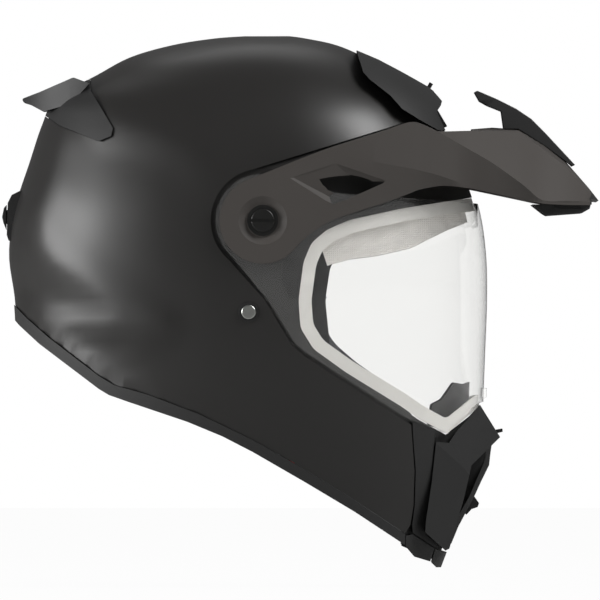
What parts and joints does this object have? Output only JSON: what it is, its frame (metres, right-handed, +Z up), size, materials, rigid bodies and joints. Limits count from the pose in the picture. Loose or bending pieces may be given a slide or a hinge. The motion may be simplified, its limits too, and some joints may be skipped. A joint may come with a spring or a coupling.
{
  "type": "dual sport helmet",
  "caption": "Matte black full-face dual sport helmet with a tilting peak, a clear lifting face shield, a vented chin bar and a chin strap with a quick-release buckle.",
  "frame": {"origin": "centre of the head space, where the wearer's head centre lies, on the mid-plane", "axes": "+X forward, the way the wearer looks; +Y to the wearer's left; +Z up in the worn attitude"},
  "size_m": [0.3795, 0.253, 0.34],
  "materials": {
    "shell": "matte black paint over a moulded fibre shell",
    "trim": "matte black moulded plastic",
    "grille": "dark plastic",
    "fitting": "black moulded plastic",
    "lens": "clear moulded sheet, glossy",
    "gasket": "light grey soft rubber",
    "rubber": "soft black rubber",
    "foam": "black painted bead foam",
    "lining": "brushed dark grey lining cloth over foam",
    "cloth": "black wind cloth",
    "webbing": "black woven webbing",
    "steel": "brushed",
    "screw": "dark zinc",
    "lever": "red moulded plastic"
  },
  "bodies": {
    "shell": {"outer_shell": "shell", "eps_liner": "foam", "crown_pad": "lining", "cheek_pad_right": "lining", "cheek_pad_left": "lining", "neck_roll": "lining", "chin_bar_liner": "foam", "chin_curtain": "cloth", "eyeport_gasket": "gasket", "nose_deflector": "rubber", "bottom_edge_trim": "rubber", "rear_spoiler": "trim", "top_vent_cover": "trim", "top_vent_grille": "grille", "rear_vent_housing": "trim", "shield_lock_plate_right": "fitting", "shield_lock_plate_left": "fitting", "base_plate_right": "fitting", "base_plate_left": "fitting", "base_plate_screws_right": "screw", "base_plate_screws_left": "screw", "chin_frame": "trim", "chin_cover": "trim", "chin_grille": "grille", "chin_skirt_right": "rubber", "chin_skirt_left": "rubber", "chin_skirt_cap": "rubber", "strap_rivet_right": "steel", "strap_rivet_left": "steel", "rivet_ring_right": "grille", "rivet_ring_left": "grille", "chin_strap_right": "webbing", "chin_strap_left": "webbing", "buckle_housing": "fitting", "buckle_tongue": "steel"},
    "shield": {"face_shield": "lens", "shield_tab": "lens"},
    "peak": {"peak": "shell", "peak_scoop": "trim", "peak_tray": "trim"},
    "knob_right": {"pivot_knob_right": "fitting"},
    "knob_left": {"pivot_knob_left": "fitting"},
    "top_slider": {"top_vent_slider": "grille"},
    "rear_slider": {"rear_vent_slider": "grille"},
    "chin_slider": {"chin_vent_slider": "grille"},
    "chin_lever": {"chin_vent_lever": "grille"},
    "strap_lever": {"buckle_lever": "lever"}
  },
  "joints": [
    {"name": "shield_hinge", "type": "hinge", "parent": "shell", "child": "shield", "pos_m": [0.01472, 0, 0.03137], "axis": [0, -1, 0], "range_deg": [0, 21]},
    {"name": "peak_tilt", "type": "hinge", "parent": "shell", "child": "peak", "pos_m": [0.01472, 0, 0.03137], "axis": [0, -1, 0], "range_deg": [0, 10]},
    {"name": "knob_right_turn", "type": "hinge", "parent": "shell", "child": "knob_right", "pos_m": [0.01472, -0.122, 0.03137], "axis": [0, -1, 0], "range_deg": [0, 90]},
    {"name": "knob_left_turn", "type": "hinge", "parent": "shell", "child": "knob_left", "pos_m": [0.01472, 0.122, 0.03137], "axis": [0, 1, 0], "range_deg": [0, 90]},
    {"name": "top_vent_slide", "type": "slide", "parent": "shell", "child": "top_slider", "axis": [-0.8606, 0, 0.5093], "range_m": [0, 0.006]},
    {"name": "rear_vent_slide", "type": "slide", "parent": "shell", "child": "rear_slider", "axis": [0, 0, 1], "range_m": [0, 0.004]},
    {"name": "chin_vent_slide", "type": "slide", "parent": "shell", "child": "chin_slider", "axis": [0, 1, 0], "range_m": [-0.004, 0.004]},
    {"name": "chin_lever_hinge", "type": "hinge", "parent": "shell", "child": "chin_lever", "pos_m": [0.14455, 0, -0.14884], "axis": [0, -1, 0], "range_deg": [0, 20]},
    {"name": "buckle_lever_hinge", "type": "hinge", "parent": "shell", "child": "strap_lever", "pos_m": [0.03952, -0.0125, -0.11964], "axis": [-0.9397, 0, -0.342], "range_deg": [0, 35], "stiffness_Nm_per_rad": 0.02}
  ]
}
